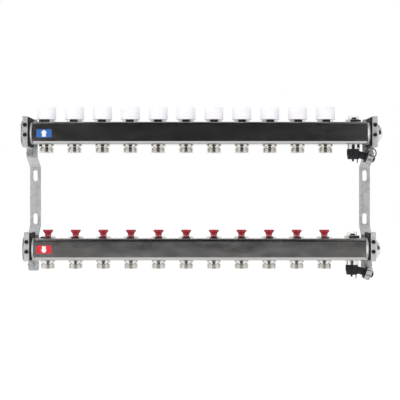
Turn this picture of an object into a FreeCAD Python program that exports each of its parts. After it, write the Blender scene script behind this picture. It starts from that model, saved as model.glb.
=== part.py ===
import FreeCAD, Part
import math
import os
import Sketcher

# Underfloor heating manifold: return bar above, supply bar below, eleven circuits and one
# service port on each bar.  Millimetres, +X to the right, +Y towards the wall, +Z up.
# The origin is the middle of the left bracket's two wall slots, on the wall face.

V = FreeCAD.Vector

SIZES = {
    "port_pitch": 50, "port_first": 30.5, "bracket_span": 611,
    "upper_back": -61, "upper_level": 114, "lower_back": -46, "lower_level": -94,
    "bar_side": 40, "bar_corner": 6, "bar_wall": 1.5, "bar_half": 317.5, "shoulder_start": 295.8,
    "shoulder_mid": 299.3, "shoulder_end": 302.5,
    "shoulder_low": 302.2, "shoulder_high": 296.8, "neck_radius": 18.5, "port_hole": 9,
    "socket_radius": 15.9, "socket_depth": 14, "collar_radius": 23, "collar_width": 1.5,
    "strip_width": 20, "strip_gauge": 2.5, "strip_top": 141.5, "strip_bottom": -135,
    "upper_stand": 35, "lower_stand": 20, "upper_bend_top": 73.5, "upper_bend_low": 56,
    "lower_bend_top": -53, "lower_bend_low": -70, "upper_bend_shift": 1.55,
    "lower_bend_shift": 1.15, "slot_spacing": 80, "slot_length": 20, "slot_width": 8,
    "rib_length": 54, "rib_width": 5, "rib_height": 1.2,
    "clamp_width": 9.2, "clamp_gauge": 1.5, "clamp_inset": 4.4, "clamp_front": 22,
    "clamp_rear": 23.5, "flange_drop": 17, "upper_hook": 5.5, "lower_hook": 12,
    "liner_width": 12, "liner_shift": 1.4,
    "upper_foot": -24, "upper_head": 27.5, "lower_foot": -19.5, "lower_head": 29.5,
    "nub_spacing": 17.5, "nub_centre": 5, "nub_radius": 2.4, "nub_head": 3.4,
    "nub_head_depth": 2.2, "screw_radius": 3, "screw_offset": 10.5,
    "screw_head_flats": 10, "screw_head_depth": 4, "nut_depth": 5,
    "insert_flats": 24.5, "insert_hex": 4.6, "insert_thread": 15, "insert_top": 34.5,
    "insert_tube": 7.5, "insert_foot": 2, "chamber_radius": 5.5, "chamber_low": 8,
    "chamber_top": 29, "pin_radius": 2, "pin_top": 38, "collar_of_pin": 5,
    "disc_radius": 8.5, "disc_top": -8.9, "disc_bottom": -11.9, "stem_travel": 3,
    "thread_clearance": 0.08, "cap_radius": 17, "cap_bottom": 24.5, "cap_top": 47.5,
    "cap_ceiling": 44.5, "cap_thread_top": 38.5, "cap_recess": 13, "cap_boss": 4,
    "cap_flutes": 36, "cap_flute_depth": 0.6, "cap_chamfer": 1.2,
    "supply_flats": 24, "supply_boss": 4.6, "supply_boss_top": 30, "spindle_radius": 2.5,
    "spindle_top": 28, "red_radius": 9.2, "red_neck": 5.8, "red_bottom": 24.8,
    "red_flare": 28, "red_disc": 31.4, "red_top": 35,
    "nipple_flange": 13.5, "nipple_flange_end": -24, "nipple_groove": 10,
    "nipple_groove_end": -26, "nipple_thread": 13.2, "nipple_end": -35,
    "nipple_bore": 6.5, "nipple_cone": 9, "nipple_cone_depth": 8, "seat_top": -15,
    "plug_depth": 12, "plug_flange": 17, "plug_flange_width": 2.5, "plug_head": 12.5,
    "plug_length": 8.5, "ring_gauge": 0.5,
    "vent_flats": 24, "vent_hex": 4.5, "vent_boss": 6, "vent_boss_top": 29.5,
    "vent_knob": 9.5, "vent_knob_top": 32.7, "vent_ceiling": 30, "vent_slot_width": 9,
    "vent_slot_height": 3.2, "vent_slot_level": 26.6,
    "drain_collar": 11.5, "drain_collar_end": -28, "drain_spigot": 7, "drain_spigot_end": -43,
    "drain_bore": 4.8, "hub_radius": 11, "hub_foot": 10, "hub_end": -46, "hub_floor": -44,
    "spout_tilt": 18, "spout_level": -34.4, "spout_radius": 6.5, "spout_flange": 10.5,
    "spout_flange_start": 22.5, "spout_flange_end": 25, "spout_thread": 10,
    "spout_length": 34, "spout_bore": 4.5, "drain_cap": 12.3, "drain_cap_start": 25.2,
    "drain_cap_end": 35.6, "key_side": 6, "key_end": 40.5,
    "label_width": 27, "label_height": 14.5, "label_gauge": 0.3, "label_from_left": 28.8,
    "label_drop": 1.2, "label_shift": 2.6,
}
LOOPS = 11

doc = FreeCAD.newDocument("manifold")
sheet = doc.addObject("Spreadsheet::Sheet", "dim")
for row, (alias, value) in enumerate(SIZES.items(), start=1):
    sheet.set("A%d" % row, alias)
    sheet.set("B%d" % row, str(value))
    sheet.setAlias("B%d" % row, alias)
doc.recompute()

LEFT = "0"
RIGHT = "dim.bracket_span"
UPPER = ("dim.upper_back", "dim.upper_level")
LOWER = ("dim.lower_back", "dim.lower_level")


def size(expression):
    return float(sheet.evalExpression(expression))


def place(item, x="0", y="0", z="0"):
    for axis, expression in zip("xyz", (x, y, z)):
        item.setExpression("Placement.Base." + axis, expression)
    return item


def cylinder(radius, length, x="0", y="0", z="0", axis=None):
    item = doc.addObject("Part::Cylinder", "cylinder")
    item.setExpression("Radius", radius)
    item.setExpression("Height", length)
    if axis is not None:
        item.Placement = FreeCAD.Placement(V(), FreeCAD.Rotation(V(0, 0, 1), axis))
    return place(item, x, y, z)


def box(length, width, height, x="0", y="0", z="0"):
    """A box centred in plan on x and y, standing on z."""
    item = doc.addObject("Part::Box", "box")
    item.setExpression("Length", length)
    item.setExpression("Width", width)
    item.setExpression("Height", height)
    return place(item, x + " - (" + length + ") / 2", y + " - (" + width + ") / 2", z)


def hexagon(flats, height, z="0", axis=None, x="0", y="0"):
    item = doc.addObject("Part::Prism", "hexagon")
    item.Polygon = 6
    item.setExpression("Circumradius", "(" + flats + ") / sqrt(3)")
    item.setExpression("Height", height)
    if axis is not None:
        item.Placement = FreeCAD.Placement(V(), FreeCAD.Rotation(V(0, 0, 1), axis))
    return place(item, x, y, z)


def fuse(parts, name="fusion"):
    item = doc.addObject("Part::MultiFuse", name)
    item.Shapes = parts
    item.Refine = True
    return item


def cut(base, tool, name="cut"):
    item = doc.addObject("Part::Cut", name)
    item.Base = base
    item.Tool = tool
    return item


def group(parts, name="compound"):
    item = doc.addObject("Part::Compound", name)
    item.Links = parts
    return item


def bind_corner(sketch, index, direction, expression):
    """Tie one corner of a profile to the sheet, measured from the sketch origin."""
    value = size(expression)
    if abs(value) < 1e-9:
        axis = -2 if direction == "DistanceX" else -1
        sketch.addConstraint(Sketcher.Constraint("PointOnObject", index, 1, axis))
    elif value > 0:
        number = sketch.addConstraint(
            Sketcher.Constraint(direction, -1, 1, index, 1, value))
        sketch.setExpression("Constraints[%d]" % number, expression)
    else:
        number = sketch.addConstraint(
            Sketcher.Constraint(direction, index, 1, -1, 1, -value))
        sketch.setExpression("Constraints[%d]" % number, "-(" + expression + ")")


def draw(sketch, corners):
    """A closed outline whose corners are pairs of sheet expressions."""
    first = sketch.GeometryCount
    points = [V(size(a), size(b), 0) for a, b in corners]
    count = len(points)
    for k in range(count):
        sketch.addGeometry(Part.LineSegment(points[k], points[(k + 1) % count]), False)
    for k in range(count):
        following = first + (k + 1) % count
        sketch.addConstraint(Sketcher.Constraint("Coincident", first + k, 2, following, 1))
    for k, (a, b) in enumerate(corners):
        bind_corner(sketch, first + k, "DistanceX", a)
        bind_corner(sketch, first + k, "DistanceY", b)


def half_profile(corners):
    """Radius and height pairs drawn in the XZ plane, for turned pieces."""
    sketch = doc.addObject("Sketcher::SketchObject", "turned_profile")
    sketch.Placement = FreeCAD.Placement(V(), FreeCAD.Rotation(V(1, 0, 0), 90))
    draw(sketch, corners)
    return sketch


def revolve(sketch, axis=V(0, 0, 1)):
    item = doc.addObject("Part::Revolution", "turned")
    item.Source = sketch
    item.Axis = axis
    item.Base = V()
    item.Angle = 360
    item.Solid = True
    return item


def sheet_body(name, corners, width):
    """A side outline in the YZ plane, padded equally to both sides."""
    body = doc.addObject("PartDesign::Body", name)
    plane = [f for f in body.Origin.OriginFeatures if f.Role == "YZ_Plane"][0]
    sketch = body.newObject("Sketcher::SketchObject", name + "_outline")
    sketch.AttachmentSupport = [(plane, "")]
    sketch.MapMode = "FlatFace"
    doc.recompute()
    draw(sketch, corners)
    pad = body.newObject("PartDesign::Pad", name + "_pad")
    pad.Profile = sketch
    pad.SideType = "Symmetric"
    pad.setExpression("Length", width)
    body.Tip = pad
    doc.recompute()
    return body


def finish(item, node):
    item.Label = node
    nodes.append(item)
    return item


nodes = []


# ---------------------------------------------------------------- bars

def square_tube(name, side, corner, half_length):
    body = doc.addObject("PartDesign::Body", name)
    plane = [f for f in body.Origin.OriginFeatures if f.Role == "YZ_Plane"][0]
    sketch = body.newObject("Sketcher::SketchObject", name + "_section")
    sketch.AttachmentSupport = [(plane, "")]
    sketch.MapMode = "FlatFace"
    doc.recompute()
    half = "(" + side + ") / 2"
    low = "-(" + side + ") / 2"
    draw(sketch, [(low, low), (half, low), (half, half), (low, half)])
    pad = body.newObject("PartDesign::Pad", name + "_pad")
    pad.Profile = sketch
    pad.SideType = "Symmetric"
    pad.setExpression("Length", "2 * (" + half_length + ")")
    body.Tip = pad
    doc.recompute()
    span = 2 * size(half_length)
    long_edges = ["Edge%d" % (k + 1) for k, edge in enumerate(pad.Shape.Edges)
                  if abs(edge.Length - span) < 1e-3]
    rounding = body.newObject("PartDesign::Fillet", name + "_corners")
    rounding.Base = (pad, long_edges)
    rounding.setExpression("Radius", corner)
    body.Tip = rounding
    doc.recompute()
    return body


turned_limit = half_profile([
    ("-dim.bar_half - dim.collar_width", "0"),
    ("dim.bar_half", "0"),
    ("dim.bar_half", "dim.neck_radius"),
    ("dim.shoulder_end", "dim.neck_radius"),
    ("dim.shoulder_low", "dim.neck_radius + 0.8"),
    ("dim.shoulder_mid", "dim.bar_side / 2"),
    ("dim.shoulder_high", "dim.bar_side / 2 + 4.2"),
    ("dim.shoulder_start", "dim.bar_side / 2 + 6.2"),
    ("-dim.shoulder_start", "dim.bar_side / 2 + 6.2"),
    ("-dim.shoulder_high", "dim.bar_side / 2 + 4.2"),
    ("-dim.shoulder_mid", "dim.bar_side / 2"),
    ("-dim.shoulder_low", "dim.neck_radius + 0.8"),
    ("-dim.shoulder_end", "dim.neck_radius"),
    ("-dim.bar_half", "dim.neck_radius"),
    ("-dim.bar_half", "dim.collar_radius"),
    ("-dim.bar_half - dim.collar_width", "dim.collar_radius"),
])


def make_bar(node, level):
    """Rounded square tube, ends turned down to round necks with a threaded socket each."""
    middle = square_tube(node + "_square", "dim.bar_side", "dim.bar_corner",
                         "dim.shoulder_end")
    turned = revolve(turned_limit, V(1, 0, 0))
    left_neck = cylinder("dim.neck_radius", "dim.bar_half - dim.shoulder_end",
                         "-dim.bar_half", axis=V(1, 0, 0))
    right_neck = cylinder("dim.neck_radius", "dim.bar_half - dim.shoulder_end",
                          "dim.shoulder_end", axis=V(1, 0, 0))
    left_collar = cylinder("dim.collar_radius", "dim.collar_width",
                           "-dim.bar_half - dim.collar_width", axis=V(1, 0, 0))
    domed = doc.addObject("Part::MultiCommon", "domed")
    domed.Shapes = [middle, turned]
    solid = fuse([domed, left_neck, right_neck, left_collar])
    inside = square_tube(node + "_cavity", "dim.bar_side - 2 * dim.bar_wall",
                         "dim.bar_corner - dim.bar_wall",
                         "dim.shoulder_start - dim.bar_wall")
    water_way = cylinder("dim.socket_radius - 1.5", "2 * dim.bar_half", "-dim.bar_half",
                         axis=V(1, 0, 0))
    left_socket = cylinder("dim.socket_radius", "dim.socket_depth + dim.collar_width",
                           "-dim.bar_half - dim.collar_width", axis=V(1, 0, 0))
    right_socket = cylinder("dim.socket_radius", "dim.socket_depth",
                            "dim.bar_half - dim.socket_depth", axis=V(1, 0, 0))
    holes = []
    for port in range(LOOPS + 1):
        x = "dim.port_first + %d * dim.port_pitch - dim.bracket_span / 2" % port
        holes.append(cylinder("dim.port_hole", "dim.bar_side + 2", x,
                              z="-dim.bar_side / 2 - 1"))
    hollow = fuse([inside, water_way, left_socket, right_socket] + holes)
    bar = cut(solid, hollow)
    place(bar, "dim.bracket_span / 2", level[0], level[1])
    return finish(bar, node)


# ---------------------------------------------------------------- brackets and clamps

def make_bracket(node, x, outward):
    """Cranked strip: far from the wall behind the upper bar, on the wall in the middle.

    Its clamp screws and the slot for the lower clamp's hook sit to the outward side.
    """
    gauge = " - dim.strip_gauge"
    blank = sheet_body(node + "_blank", [
        ("-dim.upper_stand", "dim.strip_top"),
        ("-dim.upper_stand", "dim.upper_bend_top"),
        ("0", "dim.upper_bend_low"),
        ("0", "dim.lower_bend_top"),
        ("-dim.lower_stand", "dim.lower_bend_low"),
        ("-dim.lower_stand", "dim.strip_bottom"),
        ("-dim.lower_stand" + gauge, "dim.strip_bottom"),
        ("-dim.lower_stand" + gauge, "dim.lower_bend_low + dim.lower_bend_shift"),
        ("-dim.strip_gauge", "dim.lower_bend_top + dim.lower_bend_shift"),
        ("-dim.strip_gauge", "dim.upper_bend_low - dim.upper_bend_shift"),
        ("-dim.upper_stand" + gauge, "dim.upper_bend_top - dim.upper_bend_shift"),
        ("-dim.upper_stand" + gauge, "dim.strip_top"),
    ], "dim.strip_width")
    edges = []
    for k, edge in enumerate(blank.Shape.Edges):
        ends = edge.BoundBox
        across = abs(edge.Length - size("dim.strip_gauge")) < 1e-3
        at_tip = ends.ZMin > size("dim.strip_top") - 0.1
        at_tip = at_tip or ends.ZMax < size("dim.strip_bottom") + 0.1
        if across and at_tip and ends.ZLength < 0.1:
            edges.append("Edge%d" % (k + 1))
    pad = blank.Tip
    rounding = blank.newObject("PartDesign::Fillet", node + "_tips")
    rounding.Base = (pad, edges)
    rounding.Radius = 4
    blank.Tip = rounding
    rib = box("dim.rib_width", "dim.rib_height", "dim.rib_length", "0",
              "-dim.strip_gauge - dim.rib_height / 2", "-dim.rib_length / 2")
    strip = fuse([blank, rib])
    tools = []
    for side in ("", "-"):
        middle = side + "dim.slot_spacing / 2"
        reach = "(dim.slot_length - dim.slot_width) / 2"
        tools.append(box("dim.slot_width", "3 * dim.strip_gauge",
                         "dim.slot_length - dim.slot_width", "0", "0",
                         middle + " - " + reach))
        for end in (" + ", " - "):
            tools.append(cylinder("dim.slot_width / 2", "3 * dim.strip_gauge", "0",
                                  "-1.5 * dim.strip_gauge", middle + end + reach,
                                  axis=V(0, 1, 0)))
    screw_upper = "dim.upper_level + dim.upper_foot - dim.screw_offset"
    screw_lower = "dim.lower_level + dim.lower_foot - dim.screw_offset"
    for stand, level in (("dim.upper_stand", screw_upper), ("dim.lower_stand", screw_lower)):
        tools.append(cylinder("dim.screw_radius", "3 * dim.strip_gauge", outward,
                              "-" + stand + " - 2 * dim.strip_gauge", level,
                              axis=V(0, 1, 0)))
    tools.append(box("dim.clamp_width", "5 * dim.strip_gauge", "dim.clamp_gauge", outward,
                     "0.5 * dim.strip_gauge - dim.lower_stand + 4",
                     "dim.lower_level + dim.lower_head"))
    strip = cut(strip, fuse(tools))
    place(strip, x)
    return finish(strip, node)


def make_clamp(node, x, level, foot, head, hook):
    """Strap around the liner; its foot is screwed to the strip, its head hooks behind it."""
    gauge = " - dim.clamp_gauge"
    outline = [
        ("dim.clamp_rear", foot), ("-dim.clamp_front", foot), ("-dim.clamp_front", head),
        ("dim.clamp_rear + " + hook, head),
        ("dim.clamp_rear + " + hook, head + " + dim.clamp_gauge"),
        ("-dim.clamp_front" + gauge, head + " + dim.clamp_gauge"),
        ("-dim.clamp_front" + gauge, foot + gauge),
        ("dim.clamp_rear" + gauge, foot + gauge),
        ("dim.clamp_rear" + gauge, foot + " - dim.flange_drop"),
        ("dim.clamp_rear", foot + " - dim.flange_drop"),
    ]
    hole = foot + " - dim.screw_offset"
    strap = sheet_body(node + "_strap", outline, "dim.clamp_width")
    tools = [cylinder("dim.screw_radius", "4 * dim.clamp_gauge", "0",
                      "dim.clamp_rear - 3 * dim.clamp_gauge", hole, axis=V(0, 1, 0))]
    for side in (" + ", " - "):
        tools.append(cylinder("dim.nub_radius", "4 * dim.clamp_gauge", "0",
                              "-dim.clamp_front - 3 * dim.clamp_gauge",
                              "dim.nub_centre" + side + "dim.nub_spacing / 2",
                              axis=V(0, 1, 0)))
    strap = cut(strap, group(tools))
    place(strap, x, level[0], level[1])
    return finish(strap, node)


def make_liner(x, level, foot, head, inward):
    """Rubber block with a round hole for the neck and two buttons through the strap."""
    depth = "dim.clamp_front + dim.clamp_rear"
    block = box("dim.liner_width", depth, head + " - (" + foot + ")", inward,
                "(dim.clamp_rear - dim.clamp_front) / 2", foot)
    neck = cylinder("dim.neck_radius", "2 * dim.liner_width", "-dim.liner_width",
                    axis=V(1, 0, 0))
    buttons = []
    for side in (" + ", " - "):
        z = "dim.nub_centre" + side + "dim.nub_spacing / 2"
        buttons.append(cylinder("dim.nub_radius", "2 * dim.clamp_gauge", "0",
                                "-dim.clamp_front - dim.clamp_gauge", z, axis=V(0, 1, 0)))
        buttons.append(cylinder("dim.nub_head", "dim.nub_head_depth", "0",
                                "-dim.clamp_front - dim.clamp_gauge - dim.nub_head_depth", z,
                                axis=V(0, 1, 0)))
    liner = cut(fuse([block] + buttons), neck)
    return place(liner, x, level[0], level[1])


def make_screw(x, level, hole):
    head = hexagon("dim.screw_head_flats", "dim.screw_head_depth", axis=V(0, 1, 0),
                   y="dim.clamp_rear - dim.clamp_gauge - dim.screw_head_depth", z=hole)
    shank = cylinder("dim.screw_radius", "dim.clamp_gauge + dim.strip_gauge + 8",
                     "0", "dim.clamp_rear - dim.clamp_gauge", hole, axis=V(0, 1, 0))
    return place(fuse([head, shank]), x, level[0], level[1])


def make_nut(x, level, hole):
    blank = hexagon("dim.screw_head_flats", "dim.nut_depth", axis=V(0, 1, 0),
                    y="dim.clamp_rear + dim.strip_gauge", z=hole)
    bore = cylinder("dim.screw_radius", "3 * dim.nut_depth", "0",
                    "dim.clamp_rear", hole, axis=V(0, 1, 0))
    return place(cut(blank, bore), x, level[0], level[1])


# ---------------------------------------------------------------- valves on the return bar

def port_x(port):
    return "dim.port_first + %d * dim.port_pitch" % port


insert_profile = half_profile([
    ("dim.pin_radius + dim.thread_clearance", "dim.insert_foot"),
    ("dim.insert_tube", "dim.insert_foot"),
    ("dim.insert_tube", "dim.bar_side / 2 - 3"),
    ("dim.port_hole", "dim.bar_side / 2 - 3"),
    ("dim.port_hole", "dim.bar_side / 2"),
    ("dim.insert_flats / 2", "dim.bar_side / 2"),
    ("dim.insert_flats / 2", "dim.bar_side / 2 + dim.insert_hex"),
    ("dim.insert_thread", "dim.bar_side / 2 + dim.insert_hex"),
    ("dim.insert_thread", "dim.insert_top - 1"),
    ("dim.insert_thread - 1", "dim.insert_top"),
    ("dim.pin_radius + dim.thread_clearance", "dim.insert_top"),
    ("dim.pin_radius + dim.thread_clearance", "dim.chamber_top"),
    ("dim.chamber_radius", "dim.chamber_top"),
    ("dim.chamber_radius", "dim.chamber_low"),
    ("dim.pin_radius + dim.thread_clearance", "dim.chamber_low"),
])
stem_profile = half_profile([
    ("0", "dim.disc_bottom"),
    ("dim.disc_radius", "dim.disc_bottom"),
    ("dim.disc_radius", "dim.disc_top"),
    ("dim.pin_radius", "dim.disc_top"),
    ("dim.pin_radius", "dim.chamber_top - 5"),
    ("dim.collar_of_pin", "dim.chamber_top - 5"),
    ("dim.collar_of_pin", "dim.chamber_top - 3.5"),
    ("dim.pin_radius", "dim.chamber_top - 3.5"),
    ("dim.pin_radius", "dim.pin_top"),
    ("0", "dim.pin_top"),
])
cap_bore_profile = half_profile([
    ("0", "dim.cap_bottom - 1"),
    ("dim.insert_thread + dim.thread_clearance", "dim.cap_bottom - 1"),
    ("dim.insert_thread + dim.thread_clearance", "dim.cap_thread_top"),
    ("dim.cap_recess", "dim.cap_thread_top"),
    ("dim.cap_recess", "dim.cap_ceiling"),
    ("dim.cap_boss", "dim.cap_ceiling"),
    ("dim.cap_boss", "dim.pin_top + 0.05"),
    ("0", "dim.pin_top + 0.05"),
])
cap_limit_profile = half_profile([
    ("0", "dim.cap_bottom"),
    ("dim.cap_radius - 0.4", "dim.cap_bottom"),
    ("dim.cap_radius", "dim.cap_bottom + 0.4"),
    ("dim.cap_radius", "dim.cap_top - dim.cap_chamfer"),
    ("dim.cap_radius - dim.cap_chamfer", "dim.cap_top"),
    ("0", "dim.cap_top"),
])


def hex_ring(flats, height, inner):
    """Hexagon on the bar's top face with a round hole for the turned body."""
    blank = hexagon(flats, height, "dim.bar_side / 2")
    return cut(blank, cylinder(inner, height + " + 2", z="dim.bar_side / 2 - 1"))


def make_insert(port):
    body = fuse([revolve(insert_profile),
                 hex_ring("dim.insert_flats", "dim.insert_hex", "dim.insert_flats / 2 - 1")])
    return place(body, port_x(port), *UPPER)


def make_stem(port):
    stem = revolve(stem_profile)
    place(stem, port_x(port), *UPPER)
    return finish(stem, "return_stem_%02d" % (port + 1))


def fluted_blank():
    """Fluted outline of the hand cap, a ring of shallow valleys between straight ribs."""
    outline = doc.addObject("Sketcher::SketchObject", "cap_outline")
    count = int(size("dim.cap_flutes"))
    outer = size("dim.cap_radius")
    inner = outer - size("dim.cap_flute_depth")
    step = 2 * math.pi / count
    points = []
    for k in range(count):
        for radius, part in ((outer, 0), (outer, 0.45), (inner, 0.6), (inner, 0.85)):
            angle = (k + part) * step
            points.append(V(radius * math.cos(angle), radius * math.sin(angle), 0))
    total = len(points)
    for k in range(total):
        outline.addGeometry(Part.LineSegment(points[k], points[(k + 1) % total]), False)
    return outline


cap_outline = fluted_blank()


def make_cap(port):
    prism = doc.addObject("Part::Extrusion", "cap_prism")
    prism.Base = cap_outline
    prism.Dir = V(0, 0, 1)
    prism.DirMode = "Custom"
    prism.setExpression("LengthFwd", "dim.cap_top + 1")
    prism.Solid = True
    common = doc.addObject("Part::MultiCommon", "cap_blank")
    common.Shapes = [prism, revolve(cap_limit_profile)]
    cap = cut(common, revolve(cap_bore_profile))
    place(cap, port_x(port), *UPPER)
    return finish(cap, "return_cap_%02d" % (port + 1))


# ---------------------------------------------------------------- valves on the supply bar

supply_profile = half_profile([
    ("dim.spindle_radius", "dim.insert_foot"),
    ("dim.insert_tube", "dim.insert_foot"),
    ("dim.insert_tube", "dim.bar_side / 2 - 3"),
    ("dim.port_hole", "dim.bar_side / 2 - 3"),
    ("dim.port_hole", "dim.bar_side / 2"),
    ("dim.supply_flats / 2", "dim.bar_side / 2"),
    ("dim.supply_flats / 2", "dim.bar_side / 2 + 2.4"),
    ("dim.supply_flats / 2 - 3", "dim.bar_side / 2 + 4.4"),
    ("dim.supply_boss", "dim.bar_side / 2 + 4.4"),
    ("dim.supply_boss", "dim.supply_boss_top"),
    ("dim.spindle_radius", "dim.supply_boss_top"),
])
spindle_profile = half_profile([
    ("0", "dim.disc_bottom"),
    ("dim.disc_radius", "dim.disc_bottom"),
    ("dim.disc_radius", "dim.disc_top"),
    ("dim.spindle_radius", "dim.disc_top"),
    ("dim.spindle_radius", "dim.spindle_top"),
    ("0", "dim.spindle_top"),
])
red_profile = half_profile([
    ("dim.supply_boss + dim.thread_clearance", "dim.red_bottom"),
    ("dim.red_neck", "dim.red_bottom"),
    ("dim.red_neck", "dim.red_flare"),
    ("dim.red_radius - 0.8", "dim.red_disc"),
    ("dim.red_radius", "dim.red_disc + 0.6"),
    ("dim.red_radius", "dim.red_top - 0.6"),
    ("dim.red_radius - 0.6", "dim.red_top"),
    ("0", "dim.red_top"),
    ("0", "dim.supply_boss_top + 0.3"),
    ("dim.supply_boss + dim.thread_clearance", "dim.supply_boss_top + 0.3"),
])


def make_supply_insert(port):
    body = fuse([revolve(supply_profile),
                 hex_ring("dim.supply_flats", "2.4", "dim.supply_flats / 2 - 1")])
    return place(body, port_x(port), *LOWER)


def make_spindle(port):
    return place(revolve(spindle_profile), port_x(port), *LOWER)


def make_red_cap(port):
    cap = revolve(red_profile)
    place(cap, port_x(port), *LOWER)
    return finish(cap, "supply_cap_%02d" % (port + 1))


# ---------------------------------------------------------------- outlets and end plugs

nipple_profile = half_profile([
    ("dim.nipple_bore", "dim.seat_top"),
    ("dim.port_hole", "dim.seat_top"),
    ("dim.port_hole", "-dim.bar_side / 2"),
    ("dim.nipple_flange", "-dim.bar_side / 2"),
    ("dim.nipple_flange", "dim.nipple_flange_end"),
    ("dim.nipple_groove", "dim.nipple_flange_end"),
    ("dim.nipple_groove", "dim.nipple_groove_end"),
    ("dim.nipple_thread", "dim.nipple_groove_end"),
    ("dim.nipple_thread", "dim.nipple_end"),
    ("dim.nipple_cone", "dim.nipple_end"),
    ("dim.nipple_bore", "dim.nipple_end + dim.nipple_cone_depth"),
])
plug_profile = half_profile([
    ("dim.bar_half - dim.plug_depth", "0"),
    ("dim.bar_half + dim.plug_length", "0"),
    ("dim.bar_half + dim.plug_length", "dim.plug_head - 5"),
    ("dim.bar_half + dim.plug_length - 1.6", "dim.plug_head - 1.2"),
    ("dim.bar_half + dim.plug_length - 3", "dim.plug_head"),
    ("dim.bar_half + dim.plug_flange_width", "dim.plug_head"),
    ("dim.bar_half + dim.plug_flange_width", "dim.plug_flange"),
    ("dim.bar_half + dim.ring_gauge", "dim.plug_flange"),
    ("dim.bar_half + dim.ring_gauge", "dim.socket_radius"),
    ("dim.bar_half - dim.plug_depth", "dim.socket_radius"),
])
ring_profile = half_profile([
    ("dim.bar_half", "dim.socket_radius"),
    ("dim.bar_half + dim.ring_gauge", "dim.socket_radius"),
    ("dim.bar_half + dim.ring_gauge", "dim.plug_flange"),
    ("dim.bar_half", "dim.plug_flange"),
])


def make_nipple(port, level):
    return place(revolve(nipple_profile), port_x(port), *level)


def make_end_piece(profile, level):
    return place(revolve(profile, V(1, 0, 0)), "dim.bracket_span / 2", *level)


# ---------------------------------------------------------------- vents and drains

SERVICE = port_x(LOOPS)

vent_body_profile = half_profile([
    ("0", "dim.bar_side / 2 - 4"),
    ("dim.port_hole", "dim.bar_side / 2 - 4"),
    ("dim.port_hole", "dim.bar_side / 2"),
    ("dim.vent_flats / 2", "dim.bar_side / 2"),
    ("dim.vent_flats / 2", "dim.bar_side / 2 + dim.vent_hex"),
    ("dim.vent_boss", "dim.bar_side / 2 + dim.vent_hex"),
    ("dim.vent_boss", "dim.vent_boss_top"),
    ("0", "dim.vent_boss_top"),
])
vent_knob_profile = half_profile([
    ("dim.vent_boss + dim.thread_clearance", "dim.bar_side / 2 + dim.vent_hex + 0.2"),
    ("dim.vent_knob", "dim.bar_side / 2 + dim.vent_hex + 0.2"),
    ("dim.vent_knob", "dim.vent_knob_top - 1.5"),
    ("dim.vent_knob - 2", "dim.vent_knob_top"),
    ("0", "dim.vent_knob_top"),
    ("0", "dim.vent_ceiling"),
    ("dim.vent_boss + dim.thread_clearance", "dim.vent_ceiling"),
])
drain_body_profile = half_profile([
    ("dim.drain_bore", "-dim.bar_side / 2 + 4"),
    ("dim.port_hole", "-dim.bar_side / 2 + 4"),
    ("dim.port_hole", "-dim.bar_side / 2"),
    ("dim.drain_collar", "-dim.bar_side / 2"),
    ("dim.drain_collar", "dim.drain_collar_end"),
    ("dim.drain_spigot", "dim.drain_collar_end"),
    ("dim.drain_spigot", "dim.drain_spigot_end"),
    ("dim.drain_bore", "dim.drain_spigot_end"),
])
hub_profile = half_profile([
    ("0", "dim.hub_end"),
    ("dim.hub_foot", "dim.hub_end"),
    ("dim.hub_radius", "dim.hub_end + 6"),
    ("dim.hub_radius", "dim.drain_collar_end - 0.2"),
    ("0", "dim.drain_collar_end - 0.2"),
])


def make_vent_body(level):
    body = fuse([revolve(vent_body_profile),
                 hex_ring("dim.vent_flats", "dim.vent_hex", "dim.vent_flats / 2 - 1")])
    return place(body, SERVICE, *level)


def make_vent_knob(node, level):
    slot = box("dim.vent_slot_width", "3", "dim.vent_slot_height", "0",
               "-dim.vent_knob + 0.2", "dim.vent_slot_level - dim.vent_slot_height / 2")
    knob = cut(revolve(vent_knob_profile), slot)
    place(knob, SERVICE, *level)
    return finish(knob, node)


def spout_axis():
    tilt = math.radians(size("dim.spout_tilt"))
    return V(math.cos(tilt), 0, -math.sin(tilt))


def along_spout(distance):
    """Sheet expressions for a point on the spout's centre line."""
    return ("(" + distance + ") * cos(dim.spout_tilt * 1deg)", "0",
            "dim.spout_level - (" + distance + ") * sin(dim.spout_tilt * 1deg)")


def spout_cylinder(radius, start, end):
    x, y, z = along_spout(start)
    return cylinder(radius, end + " - (" + start + ")", x, y, z, axis=spout_axis())


def make_hub(node, level):
    """Swivel housing with a tilted hose spout, open to the swivel spigot inside."""
    outside = fuse([
        revolve(hub_profile),
        spout_cylinder("dim.spout_radius", "2", "dim.spout_flange_start + 1"),
        spout_cylinder("dim.spout_flange", "dim.spout_flange_start", "dim.spout_flange_end"),
        spout_cylinder("dim.spout_thread", "dim.spout_flange_end", "dim.spout_length"),
        cylinder("1.8", "4.5", "-0.5", z="dim.hub_end - 4"),
        cylinder("0.9", "7.5", "7.4", z="dim.hub_end - 7"),
    ])
    spigot_room = cylinder("dim.drain_spigot + dim.thread_clearance",
                           "dim.drain_collar_end - dim.hub_floor + 1", z="dim.hub_floor")
    water_way = spout_cylinder("dim.spout_bore", "5", "dim.spout_length + 1")
    hub = cut(outside, fuse([spigot_room, water_way]))
    place(hub, SERVICE, *level)
    return finish(hub, node)


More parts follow.
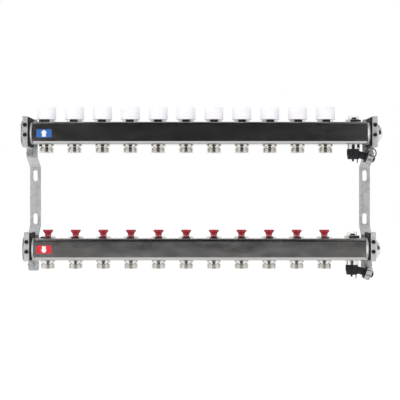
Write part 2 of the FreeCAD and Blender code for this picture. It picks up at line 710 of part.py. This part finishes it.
def make_drain_cap(node, level):
    """Knurled closing cap of the spout with a square key on its end."""
    shell = spout_cylinder("dim.drain_cap", "dim.drain_cap_start", "dim.drain_cap_end")
    bore = spout_cylinder("dim.spout_thread + dim.thread_clearance",
                          "dim.drain_cap_start - 1", "dim.spout_length + 0.1")
    key = doc.addObject("Part::Box", "key")
    key.setExpression("Length", "dim.key_side")
    key.setExpression("Width", "dim.key_side")
    key.setExpression("Height", "dim.key_end - dim.drain_cap_end + 0.5")
    along = FreeCAD.Rotation(V(0, 0, 1), spout_axis())
    corner = along.multVec(V(-size("dim.key_side") / 2, -size("dim.key_side") / 2, 0))
    start = size("dim.drain_cap_end") - 0.5
    tip = V(0, 0, size("dim.spout_level")) + spout_axis() * start + corner
    key.Placement = FreeCAD.Placement(tip, along)
    cap = cut(fuse([shell, key]), bore)
    place(cap, SERVICE, *level)
    return finish(cap, node)


def make_label(node, level, shift, drop):
    label = box("dim.label_width", "dim.label_gauge", "dim.label_height",
                "0", "-dim.bar_side / 2 - dim.label_gauge / 2",
                "-dim.label_height / 2 - " + drop)
    carrier = group([label])
    place(carrier, "dim.label_from_left - " + shift, *level)
    return finish(carrier, node)


# ---------------------------------------------------------------- assembly

make_bar("upper_bar", UPPER)
make_bar("lower_bar", LOWER)
make_bracket("left_bracket", LEFT, "-dim.clamp_inset")
make_bracket("right_bracket", RIGHT, "dim.clamp_inset")

upper_hole = "dim.upper_foot - dim.screw_offset"
lower_hole = "dim.lower_foot - dim.screw_offset"
liners = []
screws = []
nuts = []
for side, x, inward in (("left", "-dim.clamp_inset", "dim.liner_shift"),
                        ("right", RIGHT + " + dim.clamp_inset", "-dim.liner_shift")):
    for where, level in (("upper", UPPER), ("lower", LOWER)):
        foot, head, hook = ("dim." + where + end for end in ("_foot", "_head", "_hook"))
        make_clamp("clamp_%s_%s" % (where, side), x, level, foot, head, hook)
        liners.append(make_liner(x, level, foot, head, inward))
    for level, hole in ((UPPER, upper_hole), (LOWER, lower_hole)):
        screws.append(make_screw(x, level, hole))
        nuts.append(make_nut(x, level, hole))
finish(group(liners), "clamp_liners")
finish(group(screws), "clamp_screws")
finish(group(nuts), "clamp_nuts")

finish(group([make_insert(port) for port in range(LOOPS)]), "return_inserts")
finish(group([make_supply_insert(port) for port in range(LOOPS)]), "supply_inserts")
finish(group([make_spindle(port) for port in range(LOOPS)]), "supply_spindles")
outlets = [make_nipple(port, level) for level in (UPPER, LOWER) for port in range(LOOPS)]
finish(group(outlets), "port_nipples")
for port in range(LOOPS):
    make_stem(port)
    make_cap(port)
    make_red_cap(port)

finish(group([make_end_piece(plug_profile, level) for level in (UPPER, LOWER)]), "end_plugs")
finish(group([make_end_piece(ring_profile, level) for level in (UPPER, LOWER)]), "plug_seals")
finish(group([make_vent_body(level) for level in (UPPER, LOWER)]), "vent_bodies")
drain_bodies = [place(revolve(drain_body_profile), SERVICE, *level)
                for level in (UPPER, LOWER)]
finish(group(drain_bodies), "drain_bodies")
for where, level in (("upper", UPPER), ("lower", LOWER)):
    make_vent_knob("vent_knob_" + where, level)
    make_hub("drain_hub_" + where, level)
    make_drain_cap("drain_cap_" + where, level)
make_label("label_return", UPPER, "0", "dim.label_drop")
make_label("label_supply", LOWER, "dim.label_shift", "0")

doc.recompute()

for item in doc.Objects:
    for word in ("Invalid", "Error"):
        if word in item.State:
            raise RuntimeError("%s (%s) is %s" % (item.Label, item.Name, word))
os.makedirs("parts", exist_ok=True)
for item in nodes:
    if item.Shape.isNull() or not item.Shape.isValid():
        raise RuntimeError(item.Label + " has no valid shape")
    item.Shape.exportStep("parts/" + item.Label + ".step")
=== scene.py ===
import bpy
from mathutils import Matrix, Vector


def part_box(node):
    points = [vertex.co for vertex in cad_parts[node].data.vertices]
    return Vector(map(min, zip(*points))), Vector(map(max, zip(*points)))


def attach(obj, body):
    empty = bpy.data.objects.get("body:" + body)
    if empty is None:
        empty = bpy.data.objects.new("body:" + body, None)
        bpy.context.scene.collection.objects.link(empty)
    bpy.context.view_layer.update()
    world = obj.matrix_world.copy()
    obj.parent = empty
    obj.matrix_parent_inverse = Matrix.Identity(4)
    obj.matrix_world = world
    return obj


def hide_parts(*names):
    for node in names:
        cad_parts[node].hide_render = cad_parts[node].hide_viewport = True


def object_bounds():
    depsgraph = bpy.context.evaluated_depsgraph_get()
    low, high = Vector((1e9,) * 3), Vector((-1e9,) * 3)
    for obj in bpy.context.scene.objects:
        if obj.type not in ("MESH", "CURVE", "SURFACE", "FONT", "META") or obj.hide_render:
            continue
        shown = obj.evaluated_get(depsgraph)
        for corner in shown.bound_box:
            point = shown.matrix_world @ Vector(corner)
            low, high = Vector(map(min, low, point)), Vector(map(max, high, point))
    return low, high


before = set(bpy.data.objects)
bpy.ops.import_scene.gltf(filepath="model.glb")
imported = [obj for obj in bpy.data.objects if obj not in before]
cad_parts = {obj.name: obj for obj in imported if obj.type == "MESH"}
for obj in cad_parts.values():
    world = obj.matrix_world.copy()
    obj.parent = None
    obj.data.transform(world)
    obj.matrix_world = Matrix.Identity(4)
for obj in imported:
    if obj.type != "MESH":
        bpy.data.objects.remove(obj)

import math
import bpy
from mathutils import Matrix, Vector

cad_low, cad_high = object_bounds()

MM = 0.001
LOOPS = 11

# ------------------------------------------------------------------ places taken from the frame


def centre(node):
    low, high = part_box(node)
    return (low + high) / 2


UPPER = centre("upper_bar")
LOWER = centre("lower_bar")
FIRST = centre("return_cap_01").x
PITCH = centre("return_cap_02").x - FIRST
SERVICE = centre("vent_knob_upper").x

# The drains' spouts: downward tilt, and height of their centre line from the bar's axis.
TILT = math.radians(18)
SPOUT_LEVEL = -34.4 * MM

PORTS_UPPER = [Vector((FIRST + k * PITCH, UPPER.y, UPPER.z)) for k in range(LOOPS)]
PORTS_LOWER = [Vector((FIRST + k * PITCH, LOWER.y, LOWER.z)) for k in range(LOOPS)]

# ------------------------------------------------------------------ material building blocks


class Finish:
    """A node material with one Principled shader, textured in object coordinates (metres)."""

    def __init__(self, name, base, metallic=0.0, roughness=0.5):
        self.material = bpy.data.materials.new(name)
        self.material.use_nodes = True
        self.tree = self.material.node_tree
        self.shader = self.tree.nodes["Principled BSDF"]
        self.shader.inputs["Base Color"].default_value = (*base, 1)
        self.shader.inputs["Metallic"].default_value = metallic
        self.shader.inputs["Roughness"].default_value = roughness
        self.where = self.node("ShaderNodeTexCoord").outputs["Object"]

    def node(self, kind):
        return self.tree.nodes.new(kind)

    def link(self, source, target):
        self.tree.links.new(source, target)

    def stretched(self, scale):
        mapping = self.node("ShaderNodeMapping")
        mapping.inputs["Scale"].default_value = scale
        self.link(self.where, mapping.inputs["Vector"])
        return mapping.outputs["Vector"]

    def noise(self, scale, detail=4.0, roughness=0.55):
        texture = self.node("ShaderNodeTexNoise")
        texture.inputs["Scale"].default_value = 1.0
        texture.inputs["Detail"].default_value = detail
        texture.inputs["Roughness"].default_value = roughness
        self.link(self.stretched(scale), texture.inputs["Vector"])
        return texture.outputs["Fac"]

    def cells(self, scale):
        texture = self.node("ShaderNodeTexVoronoi")
        texture.inputs["Scale"].default_value = 1.0
        self.link(self.stretched(scale), texture.inputs["Vector"])
        return texture.outputs["Color"]

    def grey(self, colour):
        converter = self.node("ShaderNodeRGBToBW")
        self.link(colour, converter.inputs["Color"])
        return converter.outputs["Val"]

    def ramp(self, value, stops):
        ramp = self.node("ShaderNodeValToRGB")
        elements = ramp.color_ramp.elements
        while len(elements) < len(stops):
            elements.new(0.5)
        for element, (position, colour) in zip(elements, stops):
            element.position = position
            element.color = (*colour, 1)
        self.link(value, ramp.inputs["Fac"])
        return ramp.outputs["Color"]

    def span(self, value, low, high, start=0.3, end=0.7):
        mapped = self.node("ShaderNodeMapRange")
        mapped.inputs["From Min"].default_value = start
        mapped.inputs["From Max"].default_value = end
        mapped.inputs["To Min"].default_value = low
        mapped.inputs["To Max"].default_value = high
        self.link(value, mapped.inputs["Value"])
        return mapped.outputs["Result"]

    def mixed(self, factor, first, second):
        mix = self.node("ShaderNodeMix")
        mix.data_type = "RGBA"
        self.link(factor, mix.inputs["Factor"])
        self.link(first, mix.inputs["A"])
        self.link(second, mix.inputs["B"])
        return mix.outputs["Result"]

    def colour(self, output):
        self.link(output, self.shader.inputs["Base Color"])

    def gloss(self, output):
        self.link(output, self.shader.inputs["Roughness"])

    def relief(self, layers):
        """Chained bump nodes, one for each (height, strength, distance in metres)."""
        normal = None
        for height, strength, distance in layers:
            bump = self.node("ShaderNodeBump")
            bump.inputs["Strength"].default_value = strength
            bump.inputs["Distance"].default_value = distance
            self.link(height, bump.inputs["Height"])
            if normal is not None:
                self.link(normal, bump.inputs["Normal"])
            normal = bump.outputs["Normal"]
        self.link(normal, self.shader.inputs["Normal"])


# Distance from the row's middle to where a bar's end gets a painted highlight (near-white, barely
# metallic, rougher), and the blend's width, in metres.
HIGHLIGHT_END = 0.2984
HIGHLIGHT_BLEND = 0.0005


def brushed_steel():
    """Bar tube: grain along X, polishing clouds, finger smudges, and a painted highlight on the
    ends: near-white, barely metallic and rougher.
    """
    finish = Finish("brushed_stainless", (0.5, 0.49, 0.48), 1.0, 0.26)
    grain = finish.noise((5, 1300, 1300), 4.0, 0.6)
    clouds = finish.noise((5, 9, 9), 2.0)
    smudges = finish.noise((26, 60, 60), 4.0, 0.6)
    tone = finish.ramp(grain, [(0.3, (0.44, 0.43, 0.42)), (0.7, (0.60, 0.59, 0.58))])
    warm = finish.ramp(clouds, [(0.35, (0.49, 0.475, 0.46)), (0.65, (0.56, 0.56, 0.565))])
    half = finish.node("ShaderNodeMix")
    half.data_type = "RGBA"
    half.inputs["Factor"].default_value = 0.5
    finish.link(tone, half.inputs["A"])
    finish.link(warm, half.inputs["B"])
    split = finish.node("ShaderNodeSeparateXYZ")
    finish.link(finish.where, split.inputs["Vector"])
    from_middle = finish.node("ShaderNodeMath")
    from_middle.operation = "SUBTRACT"
    from_middle.inputs[1].default_value = UPPER.x
    finish.link(split.outputs["X"], from_middle.inputs[0])
    reach = finish.node("ShaderNodeMath")
    reach.operation = "ABSOLUTE"
    finish.link(from_middle.outputs["Value"], reach.inputs[0])
    # Painted highlight: past the end distance the bar becomes near-white, barely metallic and
    # rougher, standing in for the bright rim of its dished end.
    highlight_mask = finish.span(reach.outputs["Value"], 0.0, 1.0, HIGHLIGHT_END,
                         HIGHLIGHT_END + HIGHLIGHT_BLEND)
    painted_highlight = finish.ramp(smudges, [(0.3, (0.88, 0.88, 0.88)), (0.7, (0.96, 0.96, 0.96))])
    finish.colour(finish.mixed(highlight_mask, half.outputs["Result"], painted_highlight))
    finish.link(finish.span(highlight_mask, 1.0, 0.15, 0.0, 1.0), finish.shader.inputs["Metallic"])
    polish = finish.span(smudges, 0.17, 0.23, 0.35, 0.7)
    rough = finish.span(highlight_mask, 0.0, 0.3, 0.0, 1.0)
    total = finish.node("ShaderNodeMath")
    finish.link(polish, total.inputs[0])
    finish.link(rough, total.inputs[1])
    finish.gloss(total.outputs["Value"])
    finish.relief([(grain, 0.12, 0.00003)])
    return finish.material


def galvanised():
    """Bracket strip: zinc spangle, dull oxide bloom, fine rolling grain."""
    finish = Finish("galvanised_strip", (0.6, 0.61, 0.62), 0.55, 0.45)
    spangle = finish.grey(finish.cells((210, 210, 210)))
    small = finish.grey(finish.cells((520, 520, 520)))
    bloom = finish.noise((42, 42, 42), 6.0, 0.7)
    tone = finish.ramp(spangle, [(0.1, (0.47, 0.48, 0.49)), (0.5, (0.58, 0.59, 0.60)),
                                 (0.9, (0.69, 0.70, 0.71))])
    oxide = finish.ramp(small, [(0.2, (0.53, 0.54, 0.55)), (0.8, (0.66, 0.67, 0.67))])
    finish.colour(finish.mixed(finish.span(bloom, 0.15, 0.9), tone, oxide))
    finish.gloss(finish.span(spangle, 0.34, 0.56, 0.1, 0.9))
    finish.relief([(spangle, 0.12, 0.0002), (bloom, 0.15, 0.0003)])
    return finish.material


def nickel(name, light=0.80):
    """Nickel plated brass: turning marks round the axis, slight yellowing and wear."""
    finish = Finish(name, (light, light * 0.98, light * 0.95), 1.0, 0.2)
    turning = finish.noise((30, 30, 2600), 3.0, 0.6)
    stain = finish.noise((85, 85, 85), 5.0, 0.65)
    clean = (light, light * 0.985, light * 0.965)
    aged = (light * 0.88, light * 0.85, light * 0.80)
    finish.colour(finish.ramp(stain, [(0.38, aged), (0.58, clean)]))
    finish.gloss(finish.span(stain, 0.18, 0.09, 0.35, 0.6))
    finish.relief([(turning, 0.08, 0.00002), (stain, 0.03, 0.0001)])
    return finish.material


def zinc_plate():
    finish = Finish("bright_zinc", (0.66, 0.67, 0.69), 1.0, 0.3)
    stain = finish.noise((160, 160, 160), 5.0, 0.7)
    finish.colour(finish.ramp(stain, [(0.35, (0.48, 0.47, 0.44)), (0.6, (0.72, 0.73, 0.76))]))
    finish.gloss(finish.span(stain, 0.42, 0.24))
    finish.relief([(finish.noise((900, 900, 900)), 0.15, 0.00005)])
    return finish.material


# Reflection of black plastics and rubber, and of lighter plastics; a shade under DARK_LIMIT
# counts as black.
DARK_SPECULAR = 0.15
PLAIN_SPECULAR = 0.5
DARK_LIMIT = 0.1


def rubber():
    finish = Finish("black_rubber", (0.018, 0.018, 0.019), 0.0, 0.62)
    grain = finish.noise((1400, 1400, 1400), 3.0)
    dust = finish.noise((60, 60, 60), 6.0, 0.7)
    finish.colour(finish.ramp(dust, [(0.45, (0.012, 0.012, 0.013)), (0.8, (0.03, 0.029, 0.028))]))
    finish.gloss(finish.span(dust, 0.5, 0.75))
    finish.shader.inputs["Specular IOR Level"].default_value = DARK_SPECULAR
    finish.relief([(grain, 0.3, 0.00006)])
    return finish.material


def moulded(name, shade, deep, rough, subsurface=0.0):
    """Injection moulded plastic: fine eroded grain, faint flow clouds, handling gloss."""
    finish = Finish(name, shade, 0.0, rough)
    grain = finish.noise((1500, 1500, 1500), 2.0)
    flow = finish.noise((55, 55, 95), 4.0, 0.6)
    finish.colour(finish.ramp(flow, [(0.3, deep), (0.62, shade)]))
    finish.gloss(finish.span(flow, rough + 0.08, rough - 0.06))
    finish.relief([(grain, 0.2, 0.00004), (flow, 0.05, 0.0002)])
    finish.shader.inputs["Subsurface Weight"].default_value = subsurface
    finish.shader.inputs["Subsurface Radius"].default_value = (0.003, 0.003, 0.003)
    specular = DARK_SPECULAR if max(shade) < DARK_LIMIT else PLAIN_SPECULAR
    finish.shader.inputs["Specular IOR Level"].default_value = specular
    return finish.material


def printed(name, ink, deep):
    """Printed foil label: ink mottle under a glossy lamination."""
    finish = Finish(name, ink, 0.0, 0.3)
    mottle = finish.noise((700, 700, 700), 4.0)
    finish.colour(finish.ramp(mottle, [(0.3, deep), (0.7, ink)]))
    finish.gloss(finish.span(finish.noise((90, 90, 90)), 0.24, 0.42))
    finish.relief([(mottle, 0.08, 0.00003)])
    finish.shader.inputs["Coat Weight"].default_value = 0.4
    return finish.material


STAINLESS = brushed_steel()
GALVANISED = galvanised()
NICKEL = nickel("nickel_plate")
ZINC = zinc_plate()
RUBBER = rubber()
WHITE = moulded("white_cap_plastic", (0.93, 0.915, 0.95), (0.88, 0.865, 0.91), 0.42, 0.08)
VENT_WHITE = moulded("vent_plastic", (0.93, 0.93, 0.93), (0.86, 0.86, 0.87), 0.4, 0.05)
RED = moulded("red_cap_plastic", (0.42, 0.012, 0.03), (0.30, 0.008, 0.02), 0.34)
BLACK = moulded("black_hub_plastic", (0.022, 0.022, 0.026), (0.012, 0.012, 0.014), 0.38)
STRAP = moulded("black_strap_plastic", (0.03, 0.03, 0.032), (0.015, 0.015, 0.016), 0.45)
PIN = nickel("ground_pin_steel", 0.6)
BRASS = nickel("spindle_brass", 0.55)
NUT = nickel("drain_nut_nickel", 0.5)
BLUE = printed("label_blue_ink", (0.035, 0.16, 0.50), (0.025, 0.12, 0.42))
CRIMSON = printed("label_red_ink", (0.75, 0.022, 0.045), (0.62, 0.015, 0.03))
PAPER = printed("label_white_ink", (0.86, 0.87, 0.88), (0.80, 0.81, 0.83))


def paint(obj, material):
    obj.data.materials.clear()
    obj.data.materials.append(material)


COATS = {
    "upper_bar": STAINLESS, "lower_bar": STAINLESS,
    "left_bracket": GALVANISED, "right_bracket": GALVANISED,
    "clamp_liners": RUBBER, "clamp_screws": ZINC, "clamp_nuts": ZINC,
    "return_inserts": NICKEL, "supply_inserts": NICKEL, "supply_spindles": BRASS,
    "port_nipples": NICKEL, "end_plugs": NICKEL, "plug_seals": RUBBER,
    "vent_bodies": NICKEL, "drain_bodies": NICKEL,
    "label_return": BLUE, "label_supply": CRIMSON,
}
PREFIX_COATS = (
    ("clamp_upper", GALVANISED), ("clamp_lower", GALVANISED), ("return_cap", WHITE),
    ("return_stem", PIN), ("supply_cap", RED), ("vent_knob", VENT_WHITE),
    ("drain_hub", BLACK), ("drain_cap", NICKEL),
)
for name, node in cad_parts.items():
    coat = COATS.get(name)
    for prefix, material in PREFIX_COATS:
        if coat is None and name.startswith(prefix):
            coat = material
    paint(node, coat)

# ------------------------------------------------------------------ mesh building blocks


def make_object(name, vertices, faces, material, smooth=35):
    """A mesh in the scene; edges sharper than smooth degrees stay sharp, 0 keeps it flat."""
    mesh = bpy.data.meshes.new(name)
    mesh.from_pydata([tuple(v) for v in vertices], [], faces)
    mesh.validate()
    mesh.update()
    if smooth:
        mesh.shade_smooth()
        mesh.set_sharp_from_angle(angle=math.radians(smooth))
    obj = bpy.data.objects.new(name, mesh)
    bpy.context.scene.collection.objects.link(obj)
    paint(obj, material)
    return obj


# Only points of a profile this close to its outer radius are fluted, in mm.
FLUTE_BAND = 0.8


def lathe(name, profile, places, material, turn=Matrix.Identity(4), segments=56,
          flutes=0, flute_depth=0.0):
    """Turned closed rings: profile is (radius, height) in mm, repeated at each place."""
    vertices = []
    faces = []
    count = len(profile)
    outer = max(radius for radius, _ in profile)
    for place in places:
        first = len(vertices)
        for k in range(segments):
            angle = 2 * math.pi * k / segments
            for radius, height in profile:
                if flutes and radius > outer - FLUTE_BAND:
                    radius -= flute_depth * (0.5 + 0.5 * math.cos(flutes * angle))
                point = Vector((radius * math.cos(angle), radius * math.sin(angle), height))
                vertices.append(place + turn @ (point * MM))
        for k in range(segments):
            here = first + k * count
            there = first + ((k + 1) % segments) * count
            for j in range(count):
                following = (j + 1) % count
                faces.append((here + j, there + j, there + following, here + following))
    return make_object(name, vertices, faces, material)


def blocks(name, boxes, material, turn, bevel=0.2):
    """Several small boxes in one mesh: each is (low corner, high corner, matrix), in mm."""
    vertices = []
    faces = []
    for low, high, matrix in boxes:
        first = len(vertices)
        for x in (low[0], high[0]):
            for y in (low[1], high[1]):
                for z in (low[2], high[2]):
                    vertices.append(turn @ (matrix @ Vector((x, y, z)) * MM))
        for face in ((0, 1, 3, 2), (4, 6, 7, 5), (0, 4, 5, 1), (2, 3, 7, 6),
                     (0, 2, 6, 4), (1, 5, 7, 3)):
            faces.append([first + corner for corner in face])
    obj = make_object(name, vertices, faces, material, smooth=0)
    rounding = obj.modifiers.new("edges", "BEVEL")
    rounding.width = bevel * MM
    rounding.segments = 2
    return obj


def plate(name, outline, thickness, material):
    """A flat outline (x, z in mm) at the origin, thickened by that many mm towards -Y."""
    count = len(outline)
    vertices = [Vector((x, 0, z)) * MM for x, z in outline]
    vertices += [Vector((x, -thickness, z)) * MM for x, z in outline]
    faces = [list(range(count))[::-1], [count + k for k in range(count)]]
    for k in range(count):
        following = (k + 1) % count
        faces.append((k, following, count + following, count + k))
    return make_object(name, vertices, faces, material, smooth=0)


# ------------------------------------------------------------------ threaded outlets

THREAD_PITCH = 1.8
THREAD_TURNS = 4


def outlet_profile():
    """Section of an outlet, from inside the bar down over the thread to the cone, in mm."""
    profile = [(6.5, -15), (9.0, -15), (9.0, -20), (13.0, -20), (13.5, -20.4), (13.5, -23.6),
               (13.1, -24), (10.2, -24), (10.2, -26), (12.2, -26.0)]
    for k in range(THREAD_TURNS):
        top = -26.2 - k * THREAD_PITCH
        profile += [(13.2, top - 0.45), (13.2, top - 0.75), (12.2, top - 1.35),
                    (12.2, top - 1.6)]
    return profile + [(12.8, -34.0), (12.8, -34.6), (12.4, -35), (9.0, -35), (6.5, -27)]


outlets = lathe("threaded_outlets", outlet_profile(), PORTS_UPPER + PORTS_LOWER, NICKEL)
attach(outlets, "manifold")
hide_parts("port_nipples")

# ------------------------------------------------------------------ label arrows

ARROW_THICKNESS = 0.15


def arrow(name, node, direction):
    """White arrow standing proud of its label, pointing up or down."""
    low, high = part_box(node)
    middle = (low + high) / 2
    outline = [(-3.6, -5.8), (3.6, -5.8), (3.2, 0.4), (5.6, 0.4), (2.0, 5.6), (-2.0, 5.6),
               (-5.6, 0.4), (-3.2, 0.4)]
    if direction < 0:
        outline = [(x, -z) for x, z in outline][::-1]
    shape = plate(name, outline, ARROW_THICKNESS, PAPER)
    shape.location = (middle.x, low.y, middle.z)
    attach(shape, "manifold")


arrow("arrow_return", "label_return", 1)
arrow("arrow_supply", "label_supply", -1)

# ------------------------------------------------------------------ vents and drains

# Turns a part made along Z so that it points along the tilted spout.
ALONG = Matrix.Rotation(math.pi / 2 + TILT, 4, "Y")

# Grip ribs round a drain's housing, corners in mm. RIB_CLEAR is the sine of half the angle
# that is kept free on each side of the spout.
RIB_SLOTS = 26
RIB_CLEAR = 0.5
RIB_LOW = (10.7, -0.55, -38.5)
RIB_HIGH = (11.45, 0.55, -29.2)

NUT_PROFILE = [(10.1, 25.3), (11.7, 25.3), (12.2, 25.9), (12.2, 34.8), (11.4, 35.6),
               (3.4, 35.6), (3.4, 34.2), (10.1, 34.2)]
NUT_FLUTES = 28
RING_PROFILE = [(4.9, 37.4), (6.2, 37.4), (6.2, 38.8), (4.9, 38.8)]

# The cap's strap: radius, and (distance along the spout, height above its axis), in mm.
STRAP_RADIUS = 1.0
STRAP_PATH = [(20, 6.0), (21, 12), (23, 17.5), (30, 18.6), (36.5, 17), (40, 12), (40, 6.5),
              (38.5, 4.6)]


def spout_point(origin, distance, height, rearward):
    """A point along the spout, above its centre line and towards the wall from it, in mm."""
    direction = Vector((math.cos(TILT), 0, -math.sin(TILT)))
    above = Vector((math.sin(TILT), 0, math.cos(TILT)))
    return origin + (direction * distance + above * height + Vector((0, rearward, 0))) * MM


def make_drain(where, level, lift, back):
    """Swivel details; the strap loops upwards by lift and towards the wall by back."""
    hub_origin = Vector((SERVICE, level.y, level.z))
    spout_origin = hub_origin + Vector((0, 0, SPOUT_LEVEL))
    body = "drain_hub_" + where
    ribs = []
    for k in range(RIB_SLOTS):
        angle = 2 * math.pi * k / RIB_SLOTS
        if abs(math.sin(angle / 2)) < RIB_CLEAR:
            continue
        ribs.append((RIB_LOW, RIB_HIGH, Matrix.Rotation(angle, 4, "Z")))
    grip = blocks("drain_grip_" + where, ribs, BLACK, Matrix.Translation(hub_origin))
    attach(grip, body)
    nut = lathe("drain_nut_" + where, NUT_PROFILE, [spout_origin], NUT, ALONG,
                segments=4 * NUT_FLUTES, flutes=NUT_FLUTES, flute_depth=0.5)
    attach(nut, "drain_cap_" + where)
    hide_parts("drain_cap_" + where)
    key = blocks("drain_key_" + where,
                 [((-3, -3, 36.4), (3, 3, 40.4), Matrix.Identity(4)),
                  ((-3.3, -3.3, 34.3), (3.3, 3.3, 36.5), Matrix.Identity(4))],
                 BLACK, Matrix.Translation(spout_origin) @ ALONG, bevel=0.4)
    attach(key, "drain_cap_" + where)
    curve = bpy.data.curves.new("drain_strap_" + where, "CURVE")
    curve.dimensions = "3D"
    curve.bevel_depth = STRAP_RADIUS * MM
    curve.bevel_resolution = 3
    curve.resolution_u = 8
    spline = curve.splines.new("NURBS")
    spline.points.add(len(STRAP_PATH) - 1)
    for point, (distance, height) in zip(spline.points, STRAP_PATH):
        point.co = (*spout_point(spout_origin, distance, height * lift, height * back), 1)
    spline.use_endpoint_u = True
    strap = bpy.data.objects.new("drain_strap_" + where, curve)
    bpy.context.scene.collection.objects.link(strap)
    paint(strap, STRAP)
    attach(strap, body)
    ring = lathe("drain_strap_ring_" + where, RING_PROFILE, [spout_origin], STRAP, ALONG)
    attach(ring, body)


make_drain("upper", UPPER, 1.0, 0.0)
make_drain("lower", LOWER, 0.0, 1.0)

# A black flat on the front of the vent's knob, in mm: a painted dark reflection.
DARK_SPOT_LOW = (-4.2, -8.2, 25.2)
DARK_SPOT_HIGH = (4.2, -7.9, 28.0)

for where, level in (("upper", UPPER), ("lower", LOWER)):
    dark_spot = blocks("vent_painted_dark_spot_" + where, [(DARK_SPOT_LOW, DARK_SPOT_HIGH, Matrix.Identity(4))], BLACK,
                   Matrix.Translation(Vector((SERVICE, level.y, level.z))), bevel=0.1)
    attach(dark_spot, "vent_knob_" + where)

# ------------------------------------------------------------------ studio

# Sizes and places below are in metres.
FLOOR_SIZE = (14, 14)
FLOOR_DROP = 0.12
FRONT_CARD_SIZE = (1.5, 2.6)
FRONT_CARD_Y = -1.5
FRONT_CARD_Z = 0.98
TOP_CARD_SIZE = (1.5, 2.4)
TOP_CARD_Y = -0.3
TOP_CARD_Z = 2.28
KEY_SIZE = (1.0, 0.7)
KEY_POWER = 6
KEY_SIDE = 0.9
KEY_Y = -1.3
KEY_Z = 1.2
CAMERA_Y = -1.75
CAMERA_Z = -0.0053
CAMERA_LENS = 84.7

scene = bpy.context.scene
scene.view_settings.view_transform = "Standard"
world = bpy.data.worlds.new("studio")
world.use_nodes = True
world.node_tree.nodes["Background"].inputs["Color"].default_value = (1, 1, 1, 1)
world.node_tree.nodes["Background"].inputs["Strength"].default_value = 1.0
scene.world = world

middle = (cad_low + cad_high) / 2


def stage_plane(name, size, location, rotation, material):
    """A rectangle of the studio, which isn't part of the object."""
    mesh = bpy.data.meshes.new(name)
    half_width, half_depth = size[0] / 2, size[1] / 2
    mesh.from_pydata([(-half_width, -half_depth, 0), (half_width, -half_depth, 0),
                      (half_width, half_depth, 0), (-half_width, half_depth, 0)], [],
                     [(0, 1, 2, 3)])
    obj = bpy.data.objects.new(name, mesh)
    bpy.context.scene.collection.objects.link(obj)
    obj.location = location
    obj.rotation_euler = rotation
    paint(obj, material)
    return obj


floor_finish = Finish("pale_floor", (0.62, 0.62, 0.62), 0.0, 0.8)
floor_finish.gloss(floor_finish.span(floor_finish.noise((3, 3, 3)), 0.75, 0.85))
floor_finish.shader.inputs["Emission Color"].default_value = (1, 1, 1, 1)
floor_finish.shader.inputs["Emission Strength"].default_value = 0.4
stage_plane("floor", FLOOR_SIZE, (middle.x, 0, cad_low.z - FLOOR_DROP), (0, 0, 0),
            floor_finish.material)

# Two dark cards that only reflections see, for the dark fronts of the polished bars.
card_finish = Finish("dark_card", (0.008, 0.008, 0.009), 0.0, 0.9)
card_finish.gloss(card_finish.span(card_finish.noise((3, 3, 3)), 0.85, 0.95))
front_card = stage_plane("front_card", FRONT_CARD_SIZE, (middle.x, FRONT_CARD_Y, FRONT_CARD_Z),
                         (math.radians(90), 0, 0), card_finish.material)
top_card = stage_plane("top_card", TOP_CARD_SIZE, (middle.x, TOP_CARD_Y, TOP_CARD_Z), (0, 0, 0),
                       card_finish.material)
for card in (front_card, top_card):
    card.visible_camera = False
    card.visible_diffuse = False
    card.visible_shadow = False
    card.visible_transmission = False


def lamp(name, location, size, power, target):
    """A rectangular lamp aimed at the target; reflections don't see it."""
    light = bpy.data.lights.new(name, "AREA")
    light.shape = "RECTANGLE"
    light.size, light.size_y = size
    light.energy = power
    obj = bpy.data.objects.new(name, light)
    bpy.context.scene.collection.objects.link(obj)
    obj.location = location
    aim = Vector(target) - Vector(location)
    obj.rotation_euler = aim.to_track_quat("-Z", "Y").to_euler()
    obj.visible_glossy = False


lamp("key", (middle.x - KEY_SIDE, KEY_Y, KEY_Z), KEY_SIZE, KEY_POWER, middle)

camera_data = bpy.data.cameras.new("camera")
camera_data.sensor_width = 36
camera_data.lens = CAMERA_LENS
camera_data.clip_end = 50
camera = bpy.data.objects.new("camera", camera_data)
bpy.context.scene.collection.objects.link(camera)
camera.location = ((FIRST + SERVICE) / 2, CAMERA_Y, CAMERA_Z)
camera.rotation_euler = (math.radians(90), 0, 0)
scene.camera = camera
